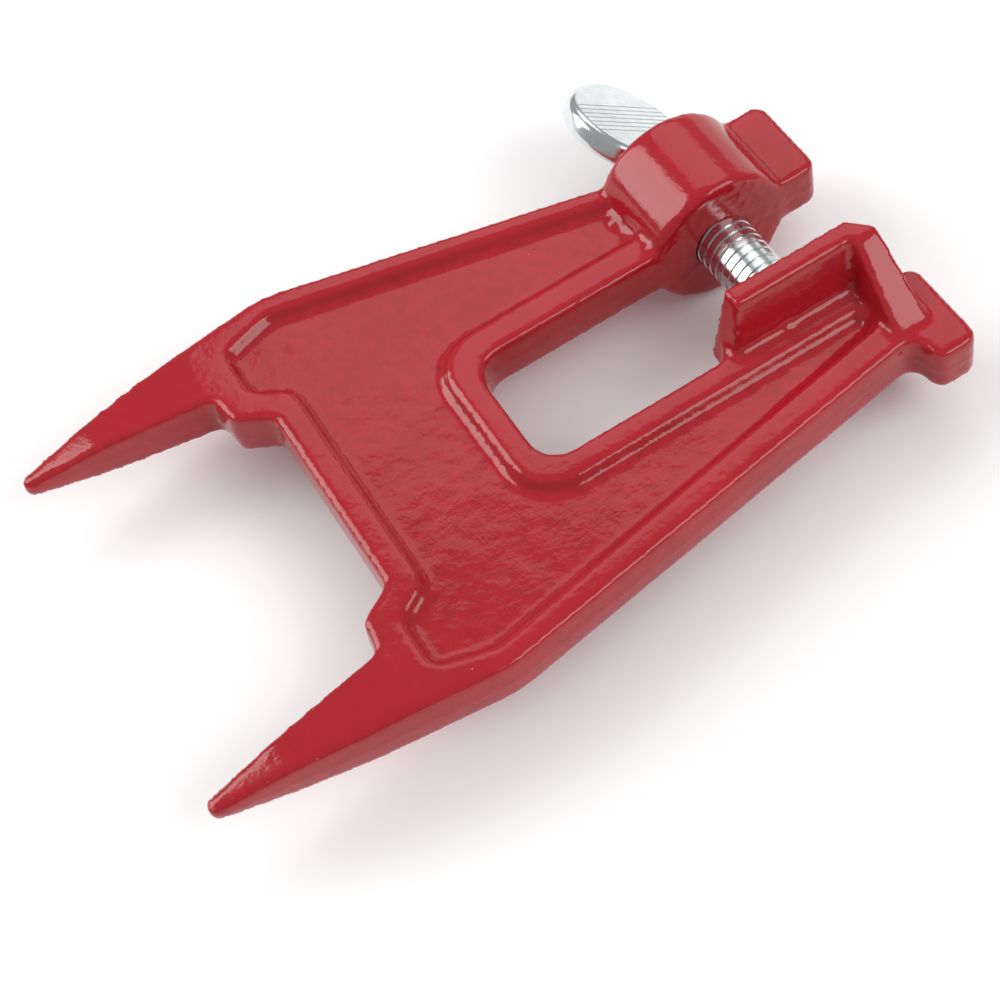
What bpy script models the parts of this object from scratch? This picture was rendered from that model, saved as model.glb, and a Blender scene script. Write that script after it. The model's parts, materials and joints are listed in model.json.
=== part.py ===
"""Filing vise for a chainsaw bar: a cast frame with two spikes, and a thumb screw.

The frame lies flat. It has two spikes to drive into a stump, a C-shaped mouth that takes the saw's
bar, a fixed jaw on one side of the mouth and a threaded boss on the other. The thumb screw runs
through the boss and clamps the bar against the jaw.

Metres, +Z up. Places are written from the spike tips (X), the spikes' centre line (Y) and the
frame's mid-plane (Z). One empty carries the whole vise, so that the origin ends up at the middle of
the footprint, level with the lowest faces.
"""

import math

import bmesh
import bpy
from mathutils import Matrix, Vector

# Frame: overall sizes
FRAME_LENGTH = 0.1662
RIM_HALF_THICKNESS = 0.0055
WEB_HALF_THICKNESS = 0.0033
RIM_EDGE_ROUND = 0.0008
POCKET_SLOPE = 0.0013
SHOULDER_HALF_WIDTH = 0.0509

# Spikes: half thickness at the tip, at the knee, and where the full rim begins
SPIKE_TIP_HALF_THICKNESS = 0.0018
SPIKE_KNEE_X = 0.016
SPIKE_KNEE_HALF_THICKNESS = 0.0043
SPIKE_ROOT_X = 0.0395

# Mouth
MOUTH_END_X = 0.0854
MOUTH_BOSS_SIDE_Y = 0.0099
MOUTH_JAW_SIDE_Y = -0.018

# Boss, with the tapped hole along Y
BOSS_X = 0.1426
BOSS_NEAR_Y = 0.0095
BOSS_RADIUS = 0.0154
BOSS_FAR_Y = 0.0318
BOSS_EDGE_ROUND = 0.0012
BOSS_SIDES = 64

# Fixed jaw
JAW_HALF_HEIGHT = 0.0165
JAW_FACE_Y = -0.0119
JAW_NEAR_X = 0.1255
JAW_FAR_X = 0.161
JAW_TOP_THICKNESS = 0.0045
JAW_FOOT_THICKNESS = 0.0076
JAW_END_SLOPE = 0.26
JAW_CORNER_CUT = 0.0042
JAW_END_TOP_THICKNESS = 0.0053
JAW_SLOPE_START_Y = -0.0175
JAW_WALL_END_Y = -0.034
JAW_INSET = 0.0004

# Lugs
LUG_JAW_NEAR_Y = -0.0213
LUG_JAW_FAR_Y = -0.0425
LUG_INNER_X = 0.157
LUG_BOSS_FAR_Y = 0.0308

# Thumb screw thread, right-handed
THREAD_RADIUS = 0.006
THREAD_ROOT_RADIUS = 0.0048
THREAD_PITCH = 0.002
THREAD_CREST = 0.00025
FLANK_SLOPE = math.tan(math.radians(30))
THREAD_STEPS = 20
THREAD_LOW_Y = -0.00585
THREAD_HIGH_Y = 0.02845
TURNED_SIDES = 40

# Tapped hole: clearances to the screw's thread
TAP_RADIAL_GAP = 0.0003
TAP_AXIAL_GAP = 0.0002
TAP_CREST_RADIUS = 0.0051

# Thumb screw head and nose
HEAD_CENTRE_Y = 0.0462
HEAD_RADIUS = 0.0134
HEAD_HALF_THICKNESS = 0.0026
HEAD_EDGE_ROUND = 0.0017
HEAD_ANGLE = math.radians(38)
HEAD_SIDES = 64
NECK_START_RADIUS = 0.0045
NECK_START_LENGTH = 0.001
NECK_RADIUS = 0.0037
NECK_EMBED = 0.006
NECK_EMBED_STEPS = 4
NOSE_RADIUS = 0.0048
NOSE_TIP_Y = -0.0072
NOSE_CHAMFER = 0.0006
PIECE_GAP = 0.0003
GROOVE_COUNT = 7
GROOVE_PITCH = 0.0014
GROOVE_WIDTH = 0.0007
GROOVE_DEPTH = 0.0003

ARC_STEP = math.radians(15)
FLAT_ANGLE = math.radians(0.5)
WELD = 0.00001
CLEAR = 0.002


def clear_scene():
    for thing in list(bpy.data.objects):
        bpy.data.objects.remove(thing, do_unlink=True)


def new_collection(name):
    collection = bpy.data.collections.new(name)
    bpy.context.scene.collection.children.link(collection)
    return collection


def new_material(name, colour, roughness, metallic):
    material = bpy.data.materials.new(name)
    material.use_nodes = True
    shader = material.node_tree.nodes["Principled BSDF"]
    shader.inputs["Base Color"].default_value = (*colour, 1.0)
    shader.inputs["Roughness"].default_value = roughness
    shader.inputs["Metallic"].default_value = metallic
    return material


def rounded_outline(corners):
    """Corner points (x, y, radius) in order, with an arc in place of each corner."""
    points = []
    for index, (x, y, radius) in enumerate(corners):
        corner = Vector((x, y))
        before = (Vector(corners[index - 1][:2]) - corner).normalized()
        after = (Vector(corners[(index + 1) % len(corners)][:2]) - corner).normalized()
        half_angle = before.angle(after) / 2
        centre = corner + (before + after).normalized() * radius / math.sin(half_angle)
        start = corner + before * radius / math.tan(half_angle)
        sweep = math.pi - 2 * half_angle
        turn = 1 if before.cross(after) < 0 else -1
        steps = max(1, math.ceil(sweep / ARC_STEP))
        for step in range(steps + 1):
            arm = Matrix.Rotation(turn * sweep * step / steps, 2) @ (start - centre)
            points.append(centre + arm)
    return points


def mesh_object(name, bm, collection):
    """A new object that holds the bmesh."""
    mesh = bpy.data.meshes.new(name)
    bm.to_mesh(mesh)
    bm.free()
    thing = bpy.data.objects.new(name, mesh)
    collection.objects.link(thing)
    return thing


def baked(thing):
    """The object's mesh as its modifiers leave it."""
    depsgraph = bpy.context.evaluated_depsgraph_get()
    return bpy.data.meshes.new_from_object(thing.evaluated_get(depsgraph))


def plate_from_outline(name, points, half_thickness, edge_round, collection):
    """A flat plate: a filled outline curve, thickened both ways, with rounded rims."""
    curve = bpy.data.curves.new(name, "CURVE")
    curve.dimensions = "2D"
    curve.fill_mode = "BOTH"
    curve.extrude = half_thickness - edge_round
    curve.bevel_depth = edge_round
    curve.bevel_resolution = 1
    curve.offset = -edge_round
    spline = curve.splines.new("POLY")
    spline.points.add(len(points) - 1)
    for spot, point in zip(spline.points, points):
        spot.co = (point.x, point.y, 0, 1)
    spline.use_cyclic_u = True
    outline = bpy.data.objects.new(name + "_outline", curve)
    collection.objects.link(outline)
    bm = bmesh.new()
    bm.from_mesh(baked(outline))
    bmesh.ops.remove_doubles(bm, verts=bm.verts, dist=WELD)
    bpy.data.objects.remove(outline, do_unlink=True)
    return mesh_object(name, bm, collection)


def slice_off(bm, point, normal):
    """Cut away what lies beyond a plane, and close the cut."""
    geometry = bm.verts[:] + bm.edges[:] + bm.faces[:]
    bmesh.ops.bisect_plane(bm, geom=geometry, plane_co=point, plane_no=normal, clear_outer=True)
    rim = [edge for edge in bm.edges if edge.is_boundary]
    bmesh.ops.holes_fill(bm, edges=rim)


def block(low, high):
    """A box between two corners, as a bmesh."""
    low, high = Vector(low), Vector(high)
    bm = bmesh.new()
    bmesh.ops.create_cube(bm, size=1.0)
    bmesh.ops.scale(bm, vec=high - low, verts=bm.verts)
    bmesh.ops.translate(bm, vec=(low + high) / 2, verts=bm.verts)
    return bm


def rod_along_y(name, radius, low_y, high_y, sides, centre_x, collection):
    """A cylinder along Y between two heights."""
    bm = bmesh.new()
    length = high_y - low_y
    bmesh.ops.create_cone(bm, cap_ends=True, segments=sides, radius1=radius, radius2=radius, depth=length)
    bmesh.ops.rotate(bm, cent=(0, 0, 0), matrix=Matrix.Rotation(math.pi / 2, 3, "X"), verts=bm.verts)
    bmesh.ops.translate(bm, vec=(centre_x, (low_y + high_y) / 2, 0), verts=bm.verts)
    return mesh_object(name, bm, collection)


def boolean(target, other, operation):
    """Join the other object to the target, or cut it away, and hide it as a cutter."""
    modifier = target.modifiers.new(operation.lower() + "_" + other.name, "BOOLEAN")
    modifier.operation = operation
    modifier.solver = "EXACT"
    modifier.object = other
    other.hide_render = True
    other.display_type = "WIRE"


def bevel(thing, width, segments, angle):
    modifier = thing.modifiers.new("edge_round", "BEVEL")
    modifier.width = width
    modifier.segments = segments
    modifier.limit_method = "ANGLE"
    modifier.angle_limit = angle


def frame_corners():
    """The frame's outline, anticlockwise from the jaw-side shoulder."""
    jaw_spike = [
        (SPIKE_ROOT_X + 0.001, -0.0268, 0.0018),
        (SPIKE_ROOT_X, -0.0340, 0.0022),
        (0.0, -0.0403, 0.0013),
        (0.0, -0.0431, 0.0013),
        (0.030, -0.0477, 0.050),
    ]
    boss_spike = [(x, -y, radius) for x, y, radius in reversed(jaw_spike)]
    return [
        (0.0585, -SHOULDER_HALF_WIDTH, 0.020),
        (0.1557, -0.0353, 0.0025),
        (LUG_INNER_X, LUG_JAW_FAR_Y, 0.0025),
        (FRAME_LENGTH, LUG_JAW_FAR_Y, 0.0028),
        (FRAME_LENGTH, LUG_JAW_NEAR_Y, 0.0025),
        (JAW_FAR_X - JAW_INSET, LUG_JAW_NEAR_Y, 0.0015),
        (JAW_FAR_X - JAW_INSET, JAW_FACE_Y - JAW_CORNER_CUT - JAW_INSET, 0.001),
        (JAW_FAR_X - JAW_CORNER_CUT - JAW_INSET, JAW_FACE_Y - JAW_INSET, 0.001),
        (JAW_NEAR_X + 0.002, JAW_FACE_Y - JAW_INSET, 0.001),
        (JAW_NEAR_X - 0.0005, MOUTH_JAW_SIDE_Y, 0.0025),
        (MOUTH_END_X, MOUTH_JAW_SIDE_Y, 0.006),
        (MOUTH_END_X, MOUTH_BOSS_SIDE_Y, 0.006),
        (FRAME_LENGTH, MOUTH_BOSS_SIDE_Y, 0.0028),
        (FRAME_LENGTH, LUG_BOSS_FAR_Y, 0.0028),
        (0.1335, LUG_BOSS_FAR_Y, 0.004),
        (0.0590, SHOULDER_HALF_WIDTH, 0.020),
        *boss_spike,
        (0.0477, 0.0225, 0.0025),
        (0.0477, -0.0225, 0.0025),
        *jaw_spike,
    ]


def pocket_corners():
    """The outline of the sunk web, where the flat rim ends, anticlockwise. It runs in under the boss."""
    return [
        (0.0463, -0.0425, 0.003),
        (0.058, -0.0460, 0.008),
        (0.153, -0.0289, 0.0021),
        (0.153, -0.0236, 0.0021),
        (0.0798, -0.0236, 0.009),
        (0.0798, 0.0166, 0.009),
        (0.131, 0.0166, 0.0021),
        (0.131, 0.0273, 0.0021),
        (0.058, 0.0460, 0.008),
        (0.0463, 0.0425, 0.003),
        (0.0463, 0.0306, 0.004),
        (0.0536, 0.0263, 0.004),
        (0.0536, -0.0263, 0.004),
        (0.0463, -0.0306, 0.004),
    ]


def make_plate(parts):
    """The frame's plate: the outline at rim thickness, thinned towards the spike tips."""
    outline = rounded_outline(frame_corners())
    plate = plate_from_outline("cast_frame", outline, RIM_HALF_THICKNESS, RIM_EDGE_ROUND, parts)
    bm = bmesh.new()
    bm.from_mesh(plate.data)
    knee = Vector((SPIKE_KNEE_X, 0, SPIKE_KNEE_HALF_THICKNESS))
    for end in (Vector((SPIKE_ROOT_X, 0, RIM_HALF_THICKNESS)), Vector((0, 0, SPIKE_TIP_HALF_THICKNESS))):
        run = end - knee if end.x > knee.x else knee - end
        for side in (1, -1):
            slice_off(bm, (knee.x, 0, side * knee.z), (-run.z, 0, side * run.x))
    bmesh.ops.dissolve_limit(bm, angle_limit=FLAT_ANGLE, verts=bm.verts, edges=bm.edges)
    bm.to_mesh(plate.data)
    bm.free()
    return plate


def make_pocket(side, cutters):
    """The cutter that sinks the web on one face, with sloping walls."""
    bm = bmesh.new()
    verts = [bm.verts.new((point.x, point.y, 0)) for point in rounded_outline(pocket_corners())]
    floor = bm.faces.new(verts)
    extruded = bmesh.ops.extrude_face_region(bm, geom=[floor])
    top = [item for item in extruded["geom"] if isinstance(item, bmesh.types.BMVert)]
    bmesh.ops.translate(bm, vec=(0, 0, CLEAR), verts=top)
    bmesh.ops.recalc_face_normals(bm, faces=bm.faces)
    depth = RIM_HALF_THICKNESS - WEB_HALF_THICKNESS
    bmesh.ops.inset_region(bm, faces=[floor], thickness=POCKET_SLOPE, depth=depth, use_even_offset=True)
    bmesh.ops.translate(bm, vec=(0, 0, RIM_HALF_THICKNESS), verts=bm.verts)
    if side < 0:
        bmesh.ops.scale(bm, vec=(1, 1, -1), verts=bm.verts)
        bmesh.ops.reverse_faces(bm, faces=bm.faces)
    return mesh_object("pocket_upper" if side > 0 else "pocket_lower", bm, cutters)


def make_jaw(cutters):
    """The tall clamping wall, upright at its face and leaning at its back, with its end wall."""
    bm = block((JAW_NEAR_X, JAW_FACE_Y - JAW_FOOT_THICKNESS - CLEAR, -JAW_HALF_HEIGHT),
               (JAW_FAR_X, JAW_FACE_Y, JAW_HALF_HEIGHT))
    rise = JAW_HALF_HEIGHT - RIM_HALF_THICKNESS
    lean = JAW_FOOT_THICKNESS - JAW_TOP_THICKNESS
    for side in (1, -1):
        top_back = (0, JAW_FACE_Y - JAW_TOP_THICKNESS, side * JAW_HALF_HEIGHT)
        slice_off(bm, top_back, (0, -rise, side * lean))
        slice_off(bm, (JAW_NEAR_X, 0, 0), (-1, 0, side * JAW_END_SLOPE))
    slice_off(bm, (JAW_FAR_X, JAW_FACE_Y - JAW_CORNER_CUT, 0), (1, 1, 0))
    jaw = mesh_object("jaw", bm, cutters)
    boolean(jaw, make_jaw_end_wall(cutters), "UNION")
    return jaw


def make_jaw_end_wall(cutters):
    """The wall that backs the jaw: full height at the jaw, sloping down to the rim at the lug."""
    foot_x = JAW_FAR_X - JAW_FOOT_THICKNESS
    bm = block((foot_x, JAW_WALL_END_Y, -JAW_HALF_HEIGHT), (JAW_FAR_X, JAW_FACE_Y, JAW_HALF_HEIGHT))
    rise = JAW_HALF_HEIGHT - RIM_HALF_THICKNESS
    fall = JAW_SLOPE_START_Y - JAW_WALL_END_Y
    lean = JAW_FOOT_THICKNESS - JAW_END_TOP_THICKNESS
    for side in (1, -1):
        slice_off(bm, (0, JAW_SLOPE_START_Y, side * JAW_HALF_HEIGHT), (0, -rise, side * fall))
        top_back = (JAW_FAR_X - JAW_END_TOP_THICKNESS, 0, side * JAW_HALF_HEIGHT)
        slice_off(bm, top_back, (-rise, 0, side * lean))
    slice_off(bm, (JAW_FAR_X, JAW_FACE_Y - JAW_CORNER_CUT, 0), (1, 1, 0))
    return mesh_object("jaw_end_wall", bm, cutters)


def spun(name, profile, open_ends, collection, **screw_settings):
    """A profile of (y, radius) points spun about the screw's axis by a Screw modifier."""
    bm = bmesh.new()
    verts = [bm.verts.new((radius, 0, along)) for along, radius in reversed(profile)]
    for first, second in zip(verts, verts[1:]):
        bm.edges.new((first, second))
    thing = mesh_object(name, bm, collection)
    screw = thing.modifiers.new("spin", "SCREW")
    screw.axis = "Z"
    screw.use_merge_vertices = True
    screw.merge_threshold = WELD
    for setting, value in screw_settings.items():
        setattr(screw, setting, value)
    screw.render_steps = screw.steps
    bm = bmesh.new()
    bm.from_mesh(baked(thing))
    bpy.data.objects.remove(thing, do_unlink=True)
    bmesh.ops.remove_doubles(bm, verts=bm.verts, dist=WELD)
    for point, normal in open_ends:
        slice_off(bm, point, normal)
    bmesh.ops.dissolve_degenerate(bm, dist=WELD, edges=bm.edges)
    bmesh.ops.recalc_face_normals(bm, faces=bm.faces)
    bmesh.ops.rotate(bm, cent=(0, 0, 0), matrix=Matrix.Rotation(-math.pi / 2, 3, "X"), verts=bm.verts)
    bmesh.ops.translate(bm, vec=(BOSS_X, 0, 0), verts=bm.verts)
    return mesh_object(name, bm, collection)


def threaded_rod(name, low_y, high_y, radial_gap, axial_gap, root_radius, collection):
    """A threaded rod cut square at both ends: the screw's shank, or the tap that cuts the hole."""
    crest = THREAD_RADIUS + radial_gap
    crest_half = THREAD_CREST / 2 - radial_gap * FLANK_SLOPE + axial_gap
    root_half = THREAD_CREST / 2 + (THREAD_RADIUS - root_radius) * FLANK_SLOPE + axial_gap
    first_turn = math.floor(low_y / THREAD_PITCH) - 1
    turns = math.ceil(high_y / THREAD_PITCH) + 1 - first_turn
    middle = (first_turn + 0.5) * THREAD_PITCH
    profile = [
        (middle + THREAD_PITCH / 2, root_radius),
        (middle + root_half, root_radius),
        (middle + crest_half, crest),
        (middle - crest_half, crest),
        (middle - root_half, root_radius),
        (middle - THREAD_PITCH / 2, root_radius),
    ]
    ends = [((0, 0, low_y), (0, 0, -1)), ((0, 0, high_y), (0, 0, 1))]
    return spun(name, profile, ends, collection,
                steps=THREAD_STEPS, iterations=turns, screw_offset=THREAD_PITCH)


def turned(name, profile, collection):
    """A solid turned about the screw's axis from (y, radius) points, first and last on the axis."""
    return spun(name, profile, [], collection, steps=TURNED_SIDES)


def make_frame(parts, cutters, paint):
    """The casting: plate, sunk webs, boss with its tapped hole, and the fixed jaw."""
    frame = make_plate(parts)
    for side in (1, -1):
        boolean(frame, make_pocket(side, cutters), "DIFFERENCE")
    boss = rod_along_y("boss", BOSS_RADIUS, BOSS_NEAR_Y, BOSS_FAR_Y, BOSS_SIDES, BOSS_X, cutters)
    bevel(boss, BOSS_EDGE_ROUND, 2, math.radians(50))
    boolean(frame, boss, "UNION")
    boolean(frame, make_jaw(cutters), "UNION")
    tap = threaded_rod("tap", BOSS_NEAR_Y - CLEAR, BOSS_FAR_Y + CLEAR,
                       TAP_RADIAL_GAP, TAP_AXIAL_GAP, TAP_CREST_RADIUS, cutters)
    boolean(frame, tap, "DIFFERENCE")
    frame.data.materials.append(paint)
    return frame


def make_screw(parts, cutters, plating):
    """The thumb screw: threaded shank, waisted neck and a round flat head with grooved faces."""
    screw = threaded_rod("thumb_screw", THREAD_LOW_Y, THREAD_HIGH_Y, 0, 0, THREAD_ROOT_RADIUS, parts)
    head_low = HEAD_CENTRE_Y - HEAD_RADIUS
    profile = [
        (THREAD_HIGH_Y - CLEAR, 0),
        (THREAD_HIGH_Y - CLEAR, NECK_START_RADIUS),
        (THREAD_HIGH_Y + NECK_START_LENGTH, NECK_START_RADIUS),
    ]
    for step in range(NECK_EMBED_STEPS + 1):
        share = step / NECK_EMBED_STEPS
        profile.append((head_low + NECK_EMBED * share, NECK_RADIUS * math.sqrt(1 - share ** 2)))
    neck = turned("neck", profile, cutters)
    boolean(screw, neck, "UNION")
    boolean(screw, make_head(cutters), "UNION")
    screw.data.materials.append(plating)
    return screw


def make_head(cutters):
    """The head: a flat disc on edge, with cross grooves for the thumb on both faces."""
    bm = bmesh.new()
    bmesh.ops.create_cone(bm, cap_ends=True, segments=HEAD_SIDES, radius1=HEAD_RADIUS,
                          radius2=HEAD_RADIUS, depth=2 * HEAD_HALF_THICKNESS)
    head = mesh_object("head", bm, cutters)
    bevel(head, HEAD_EDGE_ROUND, 2, math.radians(50))
    for side in (1, -1):
        for index in range(GROOVE_COUNT):
            along = (index - (GROOVE_COUNT - 1) / 2) * GROOVE_PITCH
            bm = block((-HEAD_RADIUS * 2, along - GROOVE_WIDTH / 2, HEAD_HALF_THICKNESS - GROOVE_DEPTH),
                       (HEAD_RADIUS * 2, along + GROOVE_WIDTH / 2, HEAD_HALF_THICKNESS + CLEAR))
            if side < 0:
                half_turn = Matrix.Rotation(math.pi, 3, "Y")
                bmesh.ops.rotate(bm, cent=(0, 0, 0), matrix=half_turn, verts=bm.verts)
            name = "groove_upper_%d" % index if side > 0 else "groove_lower_%d" % index
            groove = mesh_object(name, bm, cutters)
            groove.parent = head
            boolean(head, groove, "DIFFERENCE")
    head.location = (BOSS_X, HEAD_CENTRE_Y, 0)
    head.rotation_euler = (0, HEAD_ANGLE, 0)
    return head


def make_nose(parts, plating):
    """The plain end of the screw, which only travels: turning it would change nothing."""
    back = THREAD_LOW_Y - PIECE_GAP
    nose = turned("thumb_screw_nose", [
        (NOSE_TIP_Y, 0),
        (NOSE_TIP_Y, NOSE_RADIUS - NOSE_CHAMFER),
        (NOSE_TIP_Y + NOSE_CHAMFER, NOSE_RADIUS),
        (back, NOSE_RADIUS),
        (back, 0),
    ], parts)
    nose.data.materials.append(plating)
    return nose


def carry(parts, cutters):
    """One empty that carries everything, with the footprint's middle at the world's origin."""
    pieces = list(parts.objects)
    depsgraph = bpy.context.evaluated_depsgraph_get()
    corners = []
    for piece in pieces:
        evaluated = piece.evaluated_get(depsgraph)
        corners += [evaluated.matrix_world @ Vector(corner) for corner in evaluated.bound_box]
    low = Vector([min(corner[axis] for corner in corners) for axis in range(3)])
    high = Vector([max(corner[axis] for corner in corners) for axis in range(3)])
    carrier = bpy.data.objects.new("vise_origin", None)
    parts.objects.link(carrier)
    for thing in pieces + list(cutters.objects):
        if thing.parent is None:
            thing.parent = carrier
    carrier.location = (-(low.x + high.x) / 2, -(low.y + high.y) / 2, -low.z)


def main():
    clear_scene()
    parts = new_collection("filing_vise")
    cutters = new_collection("filing_vise_cutters")
    paint = new_material("red_enamel", (0.48, 0.013, 0.022), 0.25, 0.0)
    plating = new_material("zinc_plate", (0.72, 0.74, 0.74), 0.22, 1.0)
    make_frame(parts, cutters, paint)
    make_screw(parts, cutters, plating)
    make_nose(parts, plating)
    carry(parts, cutters)


main()
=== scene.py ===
"""Filing vise for a saw's guide bar: a red enamelled casting and a bright zinc-plated thumb screw."""

import json
import math

import bmesh
import bpy
from mathutils import Matrix, Vector, noise


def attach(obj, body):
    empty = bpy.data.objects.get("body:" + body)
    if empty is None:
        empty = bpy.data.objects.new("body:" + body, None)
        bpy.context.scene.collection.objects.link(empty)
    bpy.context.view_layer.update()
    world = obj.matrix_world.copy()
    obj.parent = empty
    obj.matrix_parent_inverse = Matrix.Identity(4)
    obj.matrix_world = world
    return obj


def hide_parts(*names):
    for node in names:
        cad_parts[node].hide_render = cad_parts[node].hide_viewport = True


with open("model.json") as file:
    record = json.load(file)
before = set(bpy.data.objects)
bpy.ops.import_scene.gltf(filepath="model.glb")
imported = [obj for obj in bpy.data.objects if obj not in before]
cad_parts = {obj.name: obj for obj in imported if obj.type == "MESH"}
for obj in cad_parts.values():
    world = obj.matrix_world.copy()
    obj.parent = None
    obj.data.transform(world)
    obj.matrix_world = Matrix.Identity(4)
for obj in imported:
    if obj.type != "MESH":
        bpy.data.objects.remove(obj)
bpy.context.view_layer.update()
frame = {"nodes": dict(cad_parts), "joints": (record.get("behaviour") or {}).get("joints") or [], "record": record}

# ---------------------------------------------------------------------------------------------
# The casting. One piece of cast iron with two spikes, a C-shaped mouth, a fixed jaw and a round
# boss, dipped in red enamel that has run into the corners and drawn back from the edges.

MM = 0.001
mounts = {mount["name"]: mount for mount in frame["record"]["mounts"]}
joints = {joint["name"]: joint for joint in frame["joints"]}
spike_line = Vector(mounts["spikes"]["pos_m"])      # halfway between the spike tips
screw_line = Vector(joints["screw_turn"]["pos_m"])  # on the thumb screw's axis
boss_near_y = 9.5 * MM        # the boss's two faces, measured from the spike line
boss_far_y = 31.8 * MM
plate_half = 5.5 * MM         # half the plate's thickness
web_half = 3.9 * MM           # the same in the pocket, and a little over
# The remeshing grid lies askew, because edges that run along a grid come out stepped.
grid_turn = Matrix.Rotation(math.radians(35), 3, "X") @ Matrix.Rotation(math.radians(50), 3, "Z")


def new_piece(name, bm):
    """An object with its place in its mesh, linked to the scene."""
    mesh = bpy.data.meshes.new(name)
    bm.to_mesh(mesh)
    bm.free()
    piece = bpy.data.objects.new(name, mesh)
    bpy.context.scene.collection.objects.link(piece)
    return piece


def apply_modifiers(piece):
    """Keep what the piece's modifiers make as its own mesh."""
    depsgraph = bpy.context.evaluated_depsgraph_get()
    finished = bpy.data.meshes.new_from_object(piece.evaluated_get(depsgraph))
    piece.modifiers.clear()
    piece.data = finished


def cut_or_join(piece, other, operation):
    """Cut the other object away from the piece, or join it on, and remove the other object."""
    boolean = piece.modifiers.new(operation.lower(), "BOOLEAN")
    boolean.operation = operation
    boolean.solver = "EXACT"
    boolean.object = other
    apply_modifiers(piece)
    bpy.data.objects.remove(other, do_unlink=True)


def along_screw(bm, verts):
    """Lay what stands on +Z along the screw's axis, its heights measured from the spike line."""
    bmesh.ops.rotate(bm, cent=(0, 0, 0), matrix=Matrix.Rotation(-math.pi / 2, 3, "X"), verts=verts)
    bmesh.ops.translate(bm, vec=(screw_line.x, spike_line.y, screw_line.z), verts=verts)


def rod(bm, radius, low_y, high_y, sides):
    """A closed cylinder on the screw's axis, added to the mesh."""
    made = bmesh.ops.create_cone(bm, cap_ends=True, segments=sides, radius1=radius, radius2=radius,
                                 depth=high_y - low_y)
    bmesh.ops.translate(bm, vec=(0, 0, (low_y + high_y) / 2), verts=made["verts"])
    along_screw(bm, made["verts"])


def enamel_lump(bm, x, y, z, half_sizes):
    """A soft run of enamel in a corner: place from the spike line and half sizes, in millimetres."""
    made = bmesh.ops.create_icosphere(bm, subdivisions=2, radius=1.0)
    bmesh.ops.scale(bm, vec=[half * MM for half in half_sizes], verts=made["verts"])
    centre = spike_line + Vector((x, y, z)) * MM
    bmesh.ops.translate(bm, vec=centre, verts=made["verts"])


bm = bmesh.new()
bm.from_mesh(frame["nodes"]["cast_frame"].data)
bmesh.ops.remove_doubles(bm, verts=bm.verts, dist=0.01 * MM)
# The plain hole is filled here, so that the remeshing leaves the boss's faces flat.
rod(bm, 7.5 * MM, boss_near_y, boss_far_y, 48)
for side in (1, -1):
    # along the foot of the boss, then the foot of the jaw, then the corner of the end wall
    for step in range(8):
        sag = 0.5 * math.sin(step * 2.1)
        enamel_lump(bm, 127.4 + sag, 13.5 + 2.1 * step, side * (3.0 - 0.3 * sag),
                    (1.5 - 0.5 * sag, 2.4, 1.1))
    enamel_lump(bm, 127.9, 12.6, side * 5.2, (1.6, 1.5, 1.0))
    for step in range(12):
        sag = 0.16 * math.sin(step * 2.3)
        enamel_lump(bm, 129.0 + 2.1 * step, -19.5 + sag, side * 5.4, (2.4, 0.8, 0.62))
    enamel_lump(bm, 138.6, -19.6, side * 6.0, (0.62, 0.62, 0.62))
    for step in range(4):
        enamel_lump(bm, 153.4 - 0.3 * step, -21.5 - 1.7 * step, side * 3.6, (1.3, 1.6, 1.1))
bmesh.ops.rotate(bm, cent=(0, 0, 0), matrix=grid_turn, verts=bm.verts)
casting = new_piece("enamelled_casting", bm)

remesh = casting.modifiers.new("even_grid", "REMESH")
remesh.mode = "VOXEL"
remesh.voxel_size = 0.69 * MM
remesh.use_smooth_shade = True
soften = casting.modifiers.new("enamel_rounding", "SMOOTH")
soften.factor = 0.5
soften.iterations = 9
apply_modifiers(casting)

# The cast skin, all in millimetres: the web swells and dips most, the boss's faces are pebbled, and
# the plate's sides bulge to a parting line at mid-height. The bulge fades out before the lugs.
web_swell = 0.07
skin_swell = 0.02
boss_pebbles = 0.12
parting_ridge = 0.07
side_bulge = 0.25
drawn_in = 0.05
fade_end = 124 * MM
fade_length = 12 * MM
bm = bmesh.new()
bm.from_mesh(casting.data)
bmesh.ops.rotate(bm, cent=(0, 0, 0), matrix=grid_turn.inverted(), verts=bm.verts)
bm.normal_update()
for vert in bm.verts:
    place = vert.co - spike_line
    on_web = abs(place.z) < web_half and abs(vert.normal.z) > 0.7
    swell = web_swell if on_web else skin_swell
    slow = noise.noise(place / (9 * MM))
    quick = noise.noise(place / (3.2 * MM) + Vector((7, 3, 5)))
    parting = 0.0
    bulge = 0.0
    if abs(vert.normal.z) < 0.5:
        parting = math.exp(-(place.z / (0.45 * MM)) ** 2)
        fade = min(1.0, max(0.0, (fade_end - place.x) / fade_length))
        bulge = fade * (0.5 + 0.5 * math.cos(math.pi * min(1.0, abs(place.z) / plate_half)))
    on_boss_face = abs(vert.normal.y) > 0.8 and place.y > 8 * MM and place.x > 115 * MM
    pebbles = noise.noise(place / (1.5 * MM)) if on_boss_face else 0.0
    vert.co += vert.normal * (swell * slow + 0.4 * swell * quick + boss_pebbles * pebbles) * MM
    vert.co += vert.normal * (parting_ridge * parting + side_bulge * bulge - drawn_in) * MM
bm.to_mesh(casting.data)
bm.free()


# ---------------------------------------------------------------------------------------------
# The screw thread, used twice: as the tap that is taken out of the boss, and as the screw's
# shank. Single start, right-handed, 12 mm over the crests, 2 mm from turn to turn.

thread_pitch = 2.0 * MM
thread_radius = 6.0 * MM
thread_steps = 48
tap_gap = 0.28 * MM           # the tap stands this far off the screw's crests
tap_root = 5.6 * MM


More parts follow.
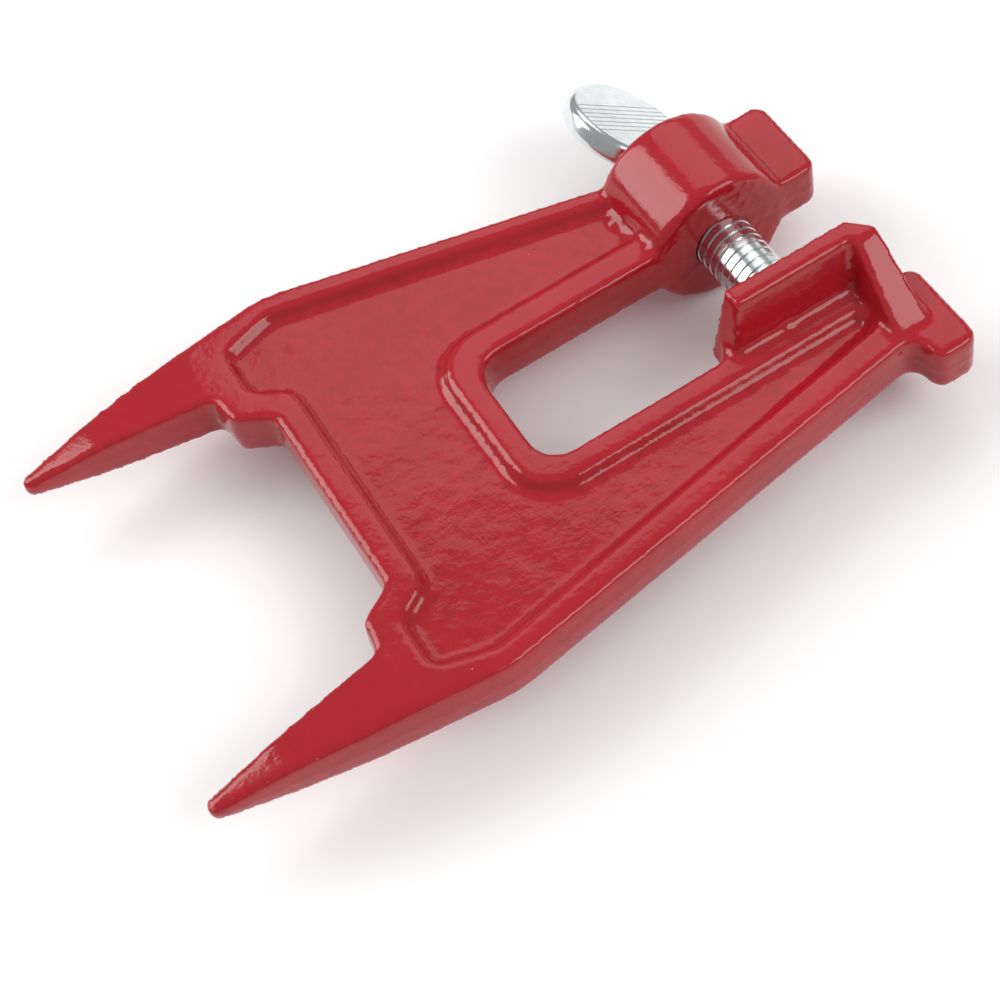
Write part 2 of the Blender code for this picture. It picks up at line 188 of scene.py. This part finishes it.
def threaded_rod(name, low_y, high_y, gap, root_radius):
    """A threaded rod cut square at both ends, made by sweeping one pitch of profile along a helix."""
    crest = thread_radius + gap
    half_crest = 0.76 * MM + 0.1 * gap
    half_root = 0.95 * MM + 0.05 * gap
    first = math.floor(low_y / thread_pitch) - 1
    turns = math.ceil(high_y / thread_pitch) + 1 - first
    middle = (first + 0.5) * thread_pitch
    profile = [
        (thread_pitch / 2, root_radius), (half_root, root_radius),
        (half_crest, crest - 0.09 * MM), (-half_crest, crest),
        (-half_root, root_radius), (-thread_pitch / 2, root_radius),
    ]
    bm = bmesh.new()
    verts = [bm.verts.new((radius, 0, middle + along)) for along, radius in profile]
    edges = [bm.edges.new(pair) for pair in zip(verts, verts[1:])]
    bmesh.ops.spin(bm, geom=verts + edges, cent=(0, 0, 0), axis=(0, 0, 1), angle=2 * math.pi * turns,
                   dvec=(0, 0, thread_pitch / thread_steps), steps=thread_steps * turns)
    bmesh.ops.remove_doubles(bm, verts=bm.verts, dist=0.005 * MM)
    for height, outward in ((low_y, -1), (high_y, 1)):
        bmesh.ops.bisect_plane(bm, geom=bm.verts[:] + bm.edges[:] + bm.faces[:], plane_co=(0, 0, height),
                               plane_no=(0, 0, outward), clear_outer=True)
        bmesh.ops.holes_fill(bm, edges=[edge for edge in bm.edges if edge.is_boundary])
    bmesh.ops.dissolve_degenerate(bm, dist=0.005 * MM, edges=bm.edges)
    bmesh.ops.recalc_face_normals(bm, faces=bm.faces)
    along_screw(bm, bm.verts)
    return new_piece(name, bm)


tap = threaded_rod("tap", 7.63 * MM, 33.63 * MM, tap_gap, tap_root)
cut_or_join(casting, tap, "DIFFERENCE")
casting.data.shade_smooth()
casting.data.set_sharp_from_angle(angle=math.radians(55))
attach(casting, "frame")
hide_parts("cast_frame")


# Red enamel: deep gloss with an orange-peel skin, painted shade in mottled patches on the pocket's floor,
# lighter red on the sharpest edges, scuffed here and there on the spikes, with dust specks and pinholes.

def new_finish(name):
    """A material, its node tree, its shader and its object coordinates."""
    material = bpy.data.materials.new(name)
    material.use_nodes = True
    tree = material.node_tree
    coordinates = tree.nodes.new("ShaderNodeTexCoord")
    return material, tree, tree.nodes["Principled BSDF"], coordinates.outputs["Object"]


def noise_pattern(tree, coordinates, size, detail, roughness):
    """Noise whose grain has the given size in metres."""
    pattern = tree.nodes.new("ShaderNodeTexNoise")
    pattern.inputs["Scale"].default_value = 1 / size
    pattern.inputs["Detail"].default_value = detail
    pattern.inputs["Roughness"].default_value = roughness
    tree.links.new(coordinates, pattern.inputs["Vector"])
    return pattern.outputs["Fac"]


def stretch(tree, value, low, high, to_low=0.0, to_high=1.0):
    """Map a value from one range to another, held at the ends."""
    node = tree.nodes.new("ShaderNodeMapRange")
    tree.links.new(value, node.inputs["Value"])
    for socket, number in zip(("From Min", "From Max", "To Min", "To Max"), (low, high, to_low, to_high)):
        node.inputs[socket].default_value = number
    return node.outputs["Result"]


def calculate(tree, operation, *values):
    """The result of a sum on values, each a number or what another node gives."""
    node = tree.nodes.new("ShaderNodeMath")
    node.operation = operation
    for socket, value in zip(node.inputs, values):
        if isinstance(value, float):
            socket.default_value = value
        else:
            tree.links.new(value, socket)
    return node.outputs["Value"]


def blend_colour(tree, share, first, second):
    """A mix of two colours, each a tuple or another mix."""
    node = tree.nodes.new("ShaderNodeMix")
    node.data_type = "RGBA"
    tree.links.new(share, node.inputs["Factor"])
    for socket, colour in ((node.inputs[6], first), (node.inputs[7], second)):
        if isinstance(colour, tuple):
            socket.default_value = (*colour, 1.0)
        else:
            tree.links.new(colour, socket)
    return node.outputs[2]


def add_bump(tree, height, distance, strength, below=None):
    """A bump on top of the bump below it."""
    node = tree.nodes.new("ShaderNodeBump")
    node.inputs["Distance"].default_value = distance
    node.inputs["Strength"].default_value = strength
    tree.links.new(height, node.inputs["Height"])
    if below is not None:
        tree.links.new(below, node.inputs["Normal"])
    return node.outputs["Normal"]


def sparse_dots(tree, coordinates, spacing, size):
    """1 on small dots that lie about one spacing apart, 0 elsewhere."""
    cells = tree.nodes.new("ShaderNodeTexVoronoi")
    cells.inputs["Scale"].default_value = 1 / spacing
    tree.links.new(coordinates, cells.inputs["Vector"])
    return stretch(tree, cells.outputs["Distance"], size / spacing, 0.6 * size / spacing)


enamel, tree, shader, place = new_finish("red_enamel_gloss")
tone = stretch(tree, noise_pattern(tree, place, 16 * MM, 3, 0.55), 0.35, 0.65)
red = blend_colour(tree, tone, (0.40, 0.0105, 0.0195), (0.355, 0.0085, 0.0165))
edge = tree.nodes.new("ShaderNodeNewGeometry").outputs["Pointiness"]
# Lighter red on the sharpest convex edges, picked out by pointiness.
lighter_edge_mask = stretch(tree, edge, 0.52, 0.60, 0.0, 0.35)
red = blend_colour(tree, lighter_edge_mask, red, (0.46, 0.024, 0.030))
split = tree.nodes.new("ShaderNodeSeparateXYZ")
tree.links.new(place, split.inputs["Vector"])
off_middle = calculate(tree, "ABSOLUTE", calculate(tree, "SUBTRACT", split.outputs["Z"], spike_line.z))
# Painted shade: the pocket's recessed floor is darkened to a deeper red in mottled patches.
pocket_shade_mask = stretch(tree, off_middle, 4.7 * MM, 4.2 * MM, 0.0, 0.55)
pocket_shade_mottle = stretch(tree, noise_pattern(tree, place, 2.8 * MM, 4, 0.6), 0.45, 0.62)
red = blend_colour(tree, calculate(tree, "MULTIPLY", pocket_shade_mask, pocket_shade_mottle), red, (0.29, 0.0065, 0.013))
on_spikes = stretch(tree, split.outputs["X"], spike_line.x + 72 * MM, spike_line.x + 60 * MM)
scuffed = stretch(tree, noise_pattern(tree, place, 2.2 * MM, 5, 0.7), 0.64, 0.70)
chipped = calculate(tree, "MULTIPLY", calculate(tree, "MULTIPLY", on_spikes, scuffed),
                    stretch(tree, edge, 0.512, 0.535))
red = blend_colour(tree, chipped, red, (0.40, 0.24, 0.23))
dust = sparse_dots(tree, place, 9 * MM, 0.14 * MM)
red = blend_colour(tree, dust, red, (0.75, 0.55, 0.52))
pinholes = sparse_dots(tree, place, 14 * MM, 0.28 * MM)
red = blend_colour(tree, pinholes, red, (0.16, 0.004, 0.008))
tree.links.new(red, shader.inputs["Base Color"])
skin = stretch(tree, noise_pattern(tree, place, 5 * MM, 2, 0.5), 0.3, 0.7, 0.09, 0.15)
tree.links.new(calculate(tree, "MULTIPLY_ADD", chipped, 0.45, skin), shader.inputs["Roughness"])
peel = add_bump(tree, noise_pattern(tree, place, 1.1 * MM, 2, 0.5), 0.05 * MM, 0.42)
peel = add_bump(tree, noise_pattern(tree, place, 3.6 * MM, 3, 0.55), 0.25 * MM, 0.38, peel)
peel = add_bump(tree, pinholes, -0.25 * MM, 0.8, peel)
tree.links.new(peel, shader.inputs["Normal"])
shader.inputs["IOR"].default_value = 1.5
casting.data.materials.clear()
casting.data.materials.append(enamel)


# ---------------------------------------------------------------------------------------------
# The thumb screw. Turned and rolled steel, 12 mm over the thread, with its end forged flat into
# a round spade that the thumb turns, cross-grooved for grip; bright zinc plate all over.

head_centre_y = 46.2 * MM
head_radius = 13.4 * MM
head_half = 2.6 * MM
head_turn = Matrix.Rotation(math.radians(38), 3, "Y")
head_place = Vector((screw_line.x, spike_line.y + head_centre_y, screw_line.z))
groove_count = 7
groove_pitch = 1.4 * MM
groove_tool = 0.52 * MM       # a square bar on its corner, with its middle above the face
groove_lift = 0.38 * MM
thread_root = 5.45 * MM
screw = threaded_rod("thumb_screw_zinc", -6.45 * MM, 28.45 * MM, 0.0, thread_root)


def turned(name, profile, sides):
    """A solid turned about the screw's axis from (y, radius) points in millimetres, ends on the axis."""
    bm = bmesh.new()
    verts = [bm.verts.new((radius * MM, 0, along * MM)) for along, radius in profile]
    edges = [bm.edges.new(pair) for pair in zip(verts, verts[1:])]
    bmesh.ops.spin(bm, geom=verts + edges, cent=(0, 0, 0), axis=(0, 0, 1), angle=2 * math.pi, steps=sides,
                   use_merge=True)
    bmesh.ops.remove_doubles(bm, verts=bm.verts, dist=0.005 * MM)
    bmesh.ops.recalc_face_normals(bm, faces=bm.faces)
    along_screw(bm, bm.verts)
    return new_piece(name, bm)


neck = turned("neck", [
    (26.6, 0), (26.6, 4.55), (29.3, 4.5), (30.6, 4.1), (31.8, 3.75), (33.0, 3.7), (34.3, 3.55),
    (35.6, 3.1), (36.8, 2.4), (37.8, 1.4), (38.3, 0),
], 48)

bm = bmesh.new()
bmesh.ops.create_cone(bm, cap_ends=True, segments=112, radius1=head_radius, radius2=head_radius,
                      depth=2 * head_half)
rims = [edge for edge in bm.edges if abs(edge.verts[0].co.z - edge.verts[1].co.z) < 0.01 * MM]
bmesh.ops.bevel(bm, geom=rims, offset=1.75 * MM, segments=6, profile=0.5, affect="EDGES", material=-1)
bmesh.ops.rotate(bm, cent=(0, 0, 0), matrix=head_turn, verts=bm.verts)
bmesh.ops.translate(bm, vec=head_place, verts=bm.verts)
head = new_piece("head", bm)

bm = bmesh.new()
for side in (1, -1):
    for index in range(groove_count):
        made = bmesh.ops.create_cone(bm, cap_ends=True, segments=4, radius1=groove_tool, radius2=groove_tool,
                                     depth=3 * head_radius)
        verts = made["verts"]
        bmesh.ops.rotate(bm, cent=(0, 0, 0), matrix=Matrix.Rotation(math.pi / 2, 3, "Y"), verts=verts)
        along = (index - (groove_count - 1) / 2) * groove_pitch
        bmesh.ops.translate(bm, vec=(0, along, side * (head_half + groove_lift)), verts=verts)
bmesh.ops.rotate(bm, cent=(0, 0, 0), matrix=head_turn, verts=bm.verts)
bmesh.ops.translate(bm, vec=head_place, verts=bm.verts)
cut_or_join(head, new_piece("grooves", bm), "DIFFERENCE")

# The two forging scoops flatten the neck towards the head, at 20 degrees to the axis.
scoop_size = 12 * MM
bm = bmesh.new()
for side in (1, -1):
    verts = bmesh.ops.create_cube(bm, size=scoop_size)["verts"]
    bmesh.ops.translate(bm, vec=(0, -scoop_size / 2, side * scoop_size / 2), verts=verts)
    slope = Matrix.Rotation(side * math.radians(-20), 3, "X")
    bmesh.ops.rotate(bm, cent=(0, 0, 0), matrix=slope, verts=verts)
    bmesh.ops.translate(bm, vec=(0, 34.2 * MM - head_centre_y, side * head_half), verts=verts)
bmesh.ops.rotate(bm, cent=(0, 0, 0), matrix=head_turn, verts=bm.verts)
bmesh.ops.translate(bm, vec=head_place, verts=bm.verts)
cut_or_join(neck, new_piece("scoops", bm), "DIFFERENCE")
cut_or_join(screw, neck, "UNION")
blunt_end = turned("blunt_end", [(-7.15, 0), (-7.15, 4.5), (-6.95, 4.85), (-6.3, 5.3), (-5.9, 0)], 48)
cut_or_join(screw, blunt_end, "UNION")
cut_or_join(screw, head, "UNION")
screw.data.shade_smooth()
screw.data.set_sharp_from_angle(angle=math.radians(38))
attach(screw, "screw")
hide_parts("thumb_screw", "thumb_screw_nose")

# Bright zinc plate: mirror-like but slightly milky, with die marks; the thread's roots and the
# grooves get a darker grey base colour, which is painted shade.

zinc, tree, shader, place = new_finish("zinc_plate_bright")
cloud = stretch(tree, noise_pattern(tree, place, 2.5 * MM, 4, 0.6), 0.35, 0.7)
grey = blend_colour(tree, cloud, (0.80, 0.86, 0.855), (0.70, 0.75, 0.75))
edge = tree.nodes.new("ShaderNodeNewGeometry").outputs["Pointiness"]
# Painted shade: darker grey in the hollows, found by pointiness.
hollow_shade_mask = stretch(tree, edge, 0.47, 0.42)
grey = blend_colour(tree, hollow_shade_mask, grey, (0.50, 0.51, 0.51))
tree.links.new(grey, shader.inputs["Base Color"])
tree.links.new(stretch(tree, cloud, 0.0, 1.0, 0.12, 0.24), shader.inputs["Roughness"])
marks = add_bump(tree, noise_pattern(tree, place, 0.7 * MM, 4, 0.6), 0.06 * MM, 0.35)
marks = add_bump(tree, noise_pattern(tree, place, 4 * MM, 2, 0.5), 0.12 * MM, 0.25, marks)
tree.links.new(marks, shader.inputs["Normal"])
shader.inputs["Metallic"].default_value = 1.0
screw.data.materials.clear()
screw.data.materials.append(zinc)


# ---------------------------------------------------------------------------------------------
# The studio: a white paper floor and a pale surround, two softboxes, a panel and a low card behind,
# an overhead fill that leaves no reflection, and the camera.

bm = bmesh.new()
bmesh.ops.create_grid(bm, x_segments=1, y_segments=1, size=4.0)
floor = new_piece("studio_floor", bm)
paper, tree, shader, place = new_finish("white_paper")
fibres = noise_pattern(tree, place, 0.3, 2, 0.5)
white = blend_colour(tree, fibres, (0.93, 0.93, 0.93), (0.95, 0.95, 0.95))
tree.links.new(white, shader.inputs["Base Color"])
shader.inputs["Roughness"].default_value = 0.9
floor.data.materials.append(paper)

world = bpy.data.worlds.new("studio")
world.use_nodes = True
world.node_tree.nodes["Background"].inputs["Color"].default_value = (1.0, 1.0, 1.0, 1.0)
world.node_tree.nodes["Background"].inputs["Strength"].default_value = 0.36
bpy.context.scene.world = world


def soft_light(name, direction, distance, width, height, radiance, in_gloss=True):
    """An area light of the given radiance that faces the object from a direction."""
    lamp = bpy.data.lights.new(name, "AREA")
    lamp.shape = "RECTANGLE"
    lamp.size = width
    lamp.size_y = height
    lamp.energy = radiance * math.pi * width * height
    light = bpy.data.objects.new(name, lamp)
    bpy.context.scene.collection.objects.link(light)
    towards = Vector(direction).normalized()
    light.location = towards * distance
    light.rotation_euler = towards.to_track_quat("Z", "Y").to_euler()
    light.visible_camera = False
    light.visible_glossy = in_gloss


lamp_distance = 2.0
soft_light("softbox_left", (-0.567, 0.630, 0.530), lamp_distance, 1.00, 1.75, 3.8)
soft_light("softbox_front", (0.475, -0.586, 0.656), lamp_distance, 1.35, 1.05, 3.3)
soft_light("panel_behind", (0.378, 0.583, 0.719), lamp_distance, 1.30, 0.98, 1.00)
soft_light("card_behind_right", (0.80, 0.60, 0.13), lamp_distance, 1.40, 0.50, 0.65)
soft_light("overhead_fill", (0.0, 0.0, 1.0), lamp_distance, 4.2, 4.2, 0.50, in_gloss=False)

camera = bpy.data.objects.new("camera", bpy.data.cameras.new("camera"))
camera.data.sensor_width = 36.0
camera.data.lens = 79.06
camera.data.clip_start = 0.01
right = Vector((0.85006, -0.50297, -0.15625))
down = Vector((-0.50322, -0.68806, -0.52282))
back = Vector((-0.15545, -0.52306, 0.83800))
stand = Matrix.Translation(spike_line + Vector((10.98, -232.37, 345.92)) * MM)
camera.matrix_world = stand @ Matrix((right, -down, back)).transposed().to_4x4()
bpy.context.scene.collection.objects.link(camera)
bpy.context.scene.camera = camera
bpy.context.scene.view_settings.view_transform = "Standard"
